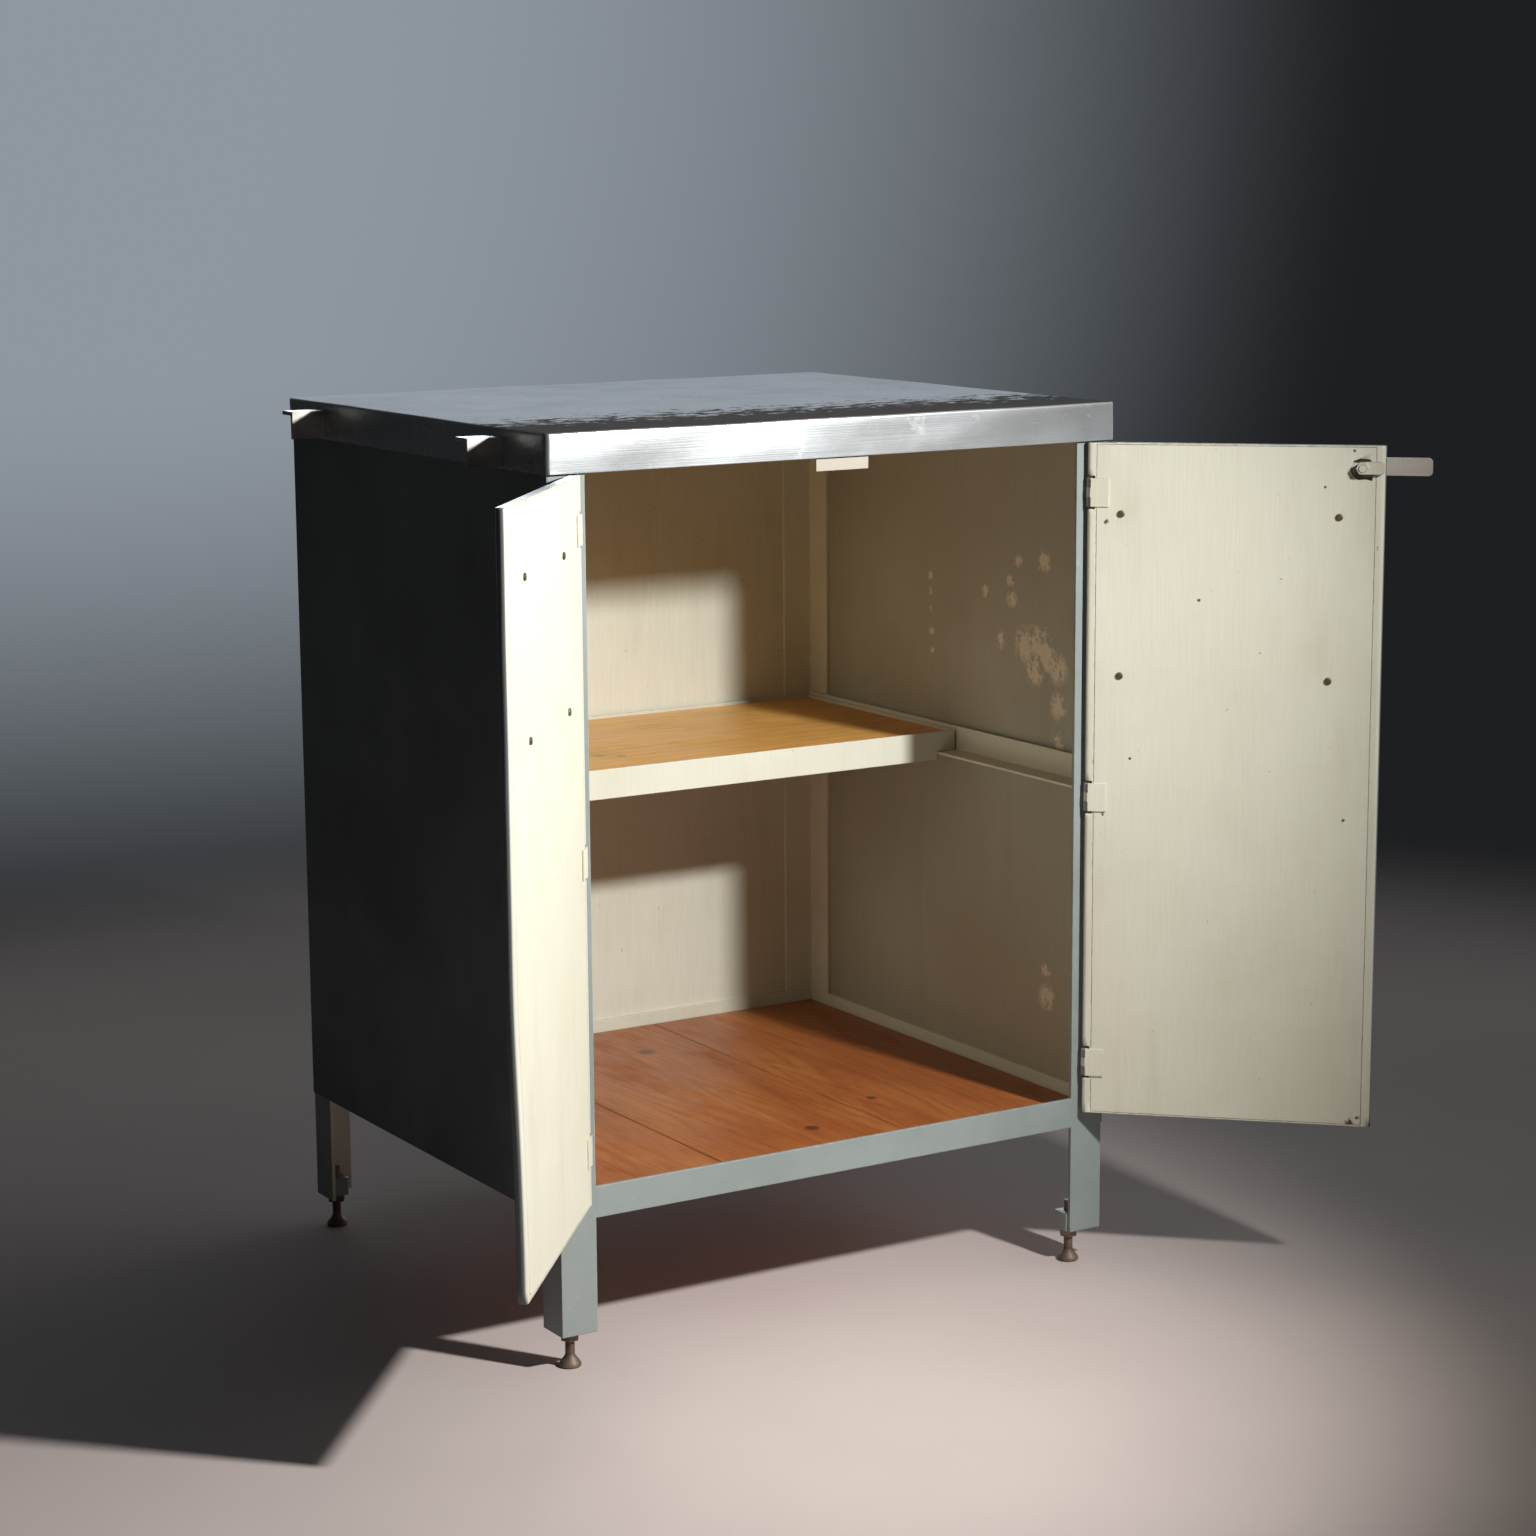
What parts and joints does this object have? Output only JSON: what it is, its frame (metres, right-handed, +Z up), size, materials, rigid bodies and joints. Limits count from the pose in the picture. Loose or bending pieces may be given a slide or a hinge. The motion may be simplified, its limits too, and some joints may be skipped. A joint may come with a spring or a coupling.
{
  "type": "two-door steel cabinet",
  "caption": "Free-standing steel cabinet on angle-iron legs: double doors on pin hinges, half-depth sliding shelf, boarded floor, turn latch and levelling feet.",
  "frame": {"origin": "on the floor, at the middle of the floor space that the cabinet takes with its doors open as drawn", "axes": "+X to the right across the doors, -Y out of the front, +Z up"},
  "size_m": [1.0734, 0.8264, 0.935],
  "materials": {
    "frame_paint": "worn pale blue-grey brushed paint, semi-matte",
    "panel_paint": "weathered blue-grey paint outside, cream paint inside",
    "door_paint": "weathered blue-grey paint outside, cream paint on the folded lips",
    "cream_paint": "aged cream paint, semi-matte, scuffed and chipped",
    "worktop_steel": "worn bare steel sheet with a bright rim",
    "bare_steel": "bare mild steel, dulled by handling",
    "rusty_steel": "brown, lightly rusted steel",
    "floor_wood": "orange-brown stained boards, satin",
    "board_wood": "oiled plywood with old stains"
  },
  "bodies": {
    "root": {"corner_post_front_left": "frame_paint", "corner_post_front_right": "frame_paint", "corner_post_rear_left": "frame_paint", "corner_post_rear_right": "frame_paint", "bottom_rail_front": "frame_paint", "top_rail_front": "frame_paint", "bottom_rail_rear": "frame_paint", "top_rail_rear": "frame_paint", "bottom_rail_left": "frame_paint", "top_rail_left": "frame_paint", "bottom_rail_right": "frame_paint", "top_rail_right": "frame_paint", "side_panel_left": "panel_paint", "side_panel_right": "panel_paint", "back_panel": "panel_paint", "floor_plank_1": "floor_wood", "floor_plank_2": "floor_wood", "floor_plank_3": "floor_wood", "worktop_tray": "worktop_steel", "worktop_board": "board_wood", "worktop_screws": "bare_steel", "shelf_rail_left": "cream_paint", "shelf_rail_right": "cream_paint", "foot_boss_front_left": "frame_paint", "foot_boss_front_right": "frame_paint", "foot_boss_rear_left": "frame_paint", "foot_boss_rear_right": "frame_paint", "jam_nuts": "rusty_steel", "hinge_frame_leaves_left": "frame_paint", "hinge_pins_left": "bare_steel", "hinge_frame_leaves_right": "frame_paint", "hinge_pins_right": "bare_steel", "strike_plate": "cream_paint", "side_bracket_front": "bare_steel", "side_bracket_rear": "bare_steel"},
    "door_left": {"door_left_shell": "door_paint", "door_left_liner": "cream_paint", "door_left_stiffeners": "cream_paint", "door_left_screws": "bare_steel", "hinge_door_leaves_left": "cream_paint"},
    "door_right": {"door_right_shell": "door_paint", "door_right_liner": "cream_paint", "door_right_stiffeners": "cream_paint", "door_right_screws": "bare_steel", "hinge_door_leaves_right": "cream_paint", "handle_rose": "bare_steel"},
    "handle": {"handle_lever": "bare_steel", "handle_spindle": "bare_steel", "latch_tongue": "bare_steel", "latch_nut": "bare_steel"},
    "shelf": {"shelf_tray": "cream_paint", "shelf_board": "board_wood"},
    "foot_front_left": {"levelling_foot_front_left": "rusty_steel"},
    "foot_front_right": {"levelling_foot_front_right": "rusty_steel"},
    "foot_rear_left": {"levelling_foot_rear_left": "rusty_steel"},
    "foot_rear_right": {"levelling_foot_rear_right": "rusty_steel"}
  },
  "joints": [
    {"name": "door_left_hinge", "type": "hinge", "parent": "root", "child": "door_left", "pos_m": [-0.33759, -0.17726, 0.518], "axis": [0, 0, -1], "range_deg": [-130.3, 34.7]},
    {"name": "door_right_hinge", "type": "hinge", "parent": "root", "child": "door_right", "pos_m": [0.27441, -0.17726, 0.518], "axis": [0, 0, 1], "range_deg": [-136, 29]},
    {"name": "handle_turn", "type": "hinge", "parent": "door_right", "child": "handle", "pos_m": [0.47654, -0.37246, 0.8715], "axis": [-0.6947, -0.7193, 0], "range_deg": [0, 90]},
    {"name": "shelf_slide", "type": "slide", "parent": "root", "child": "shelf", "axis": [0, -1, 0], "range_m": [0, 0.2]},
    {"name": "foot_front_left_screw", "type": "slide", "parent": "root", "child": "foot_front_left", "axis": [0, 0, 1], "range_m": [-0.01, 0.012]},
    {"name": "foot_front_right_screw", "type": "slide", "parent": "root", "child": "foot_front_right", "axis": [0, 0, 1], "range_m": [-0.01, 0.012]},
    {"name": "foot_rear_left_screw", "type": "slide", "parent": "root", "child": "foot_rear_left", "axis": [0, 0, 1], "range_m": [-0.01, 0.012]},
    {"name": "foot_rear_right_screw", "type": "slide", "parent": "root", "child": "foot_rear_right", "axis": [0, 0, 1], "range_m": [-0.01, 0.012]}
  ]
}
